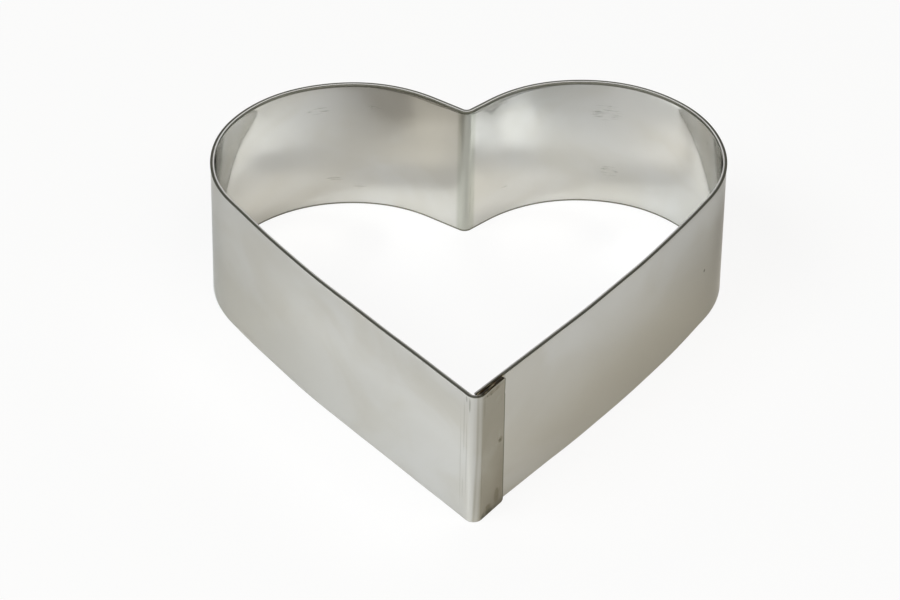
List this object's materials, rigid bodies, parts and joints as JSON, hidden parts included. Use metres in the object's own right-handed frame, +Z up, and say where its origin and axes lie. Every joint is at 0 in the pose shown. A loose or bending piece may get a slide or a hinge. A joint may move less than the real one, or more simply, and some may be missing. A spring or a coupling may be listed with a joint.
{
  "type": "heart cake ring",
  "caption": "Bottomless heart-shaped steel ring for baking and layering cakes: one bent strip, lapped and spot-welded at the tip.",
  "frame": {"origin": "centre of the bounding box in plan, on the plane of the lower edge", "axes": "+Z up from the lower edge to the rim, +Y from the tip to the cleft, +X to the right as seen from the tip, the side that the lap is on"},
  "size_m": [0.1564, 0.1632, 0.045],
  "materials": {
    "ring_steel": "satin, faintly brushed along the strip",
    "weld_steel": "dull, brown from the heat of welding"
  },
  "bodies": {
    "root": {"heart_band": "ring_steel", "spot_weld_lower": "weld_steel", "spot_weld_middle": "weld_steel", "spot_weld_upper": "weld_steel"}
  },
  "joints": []
}
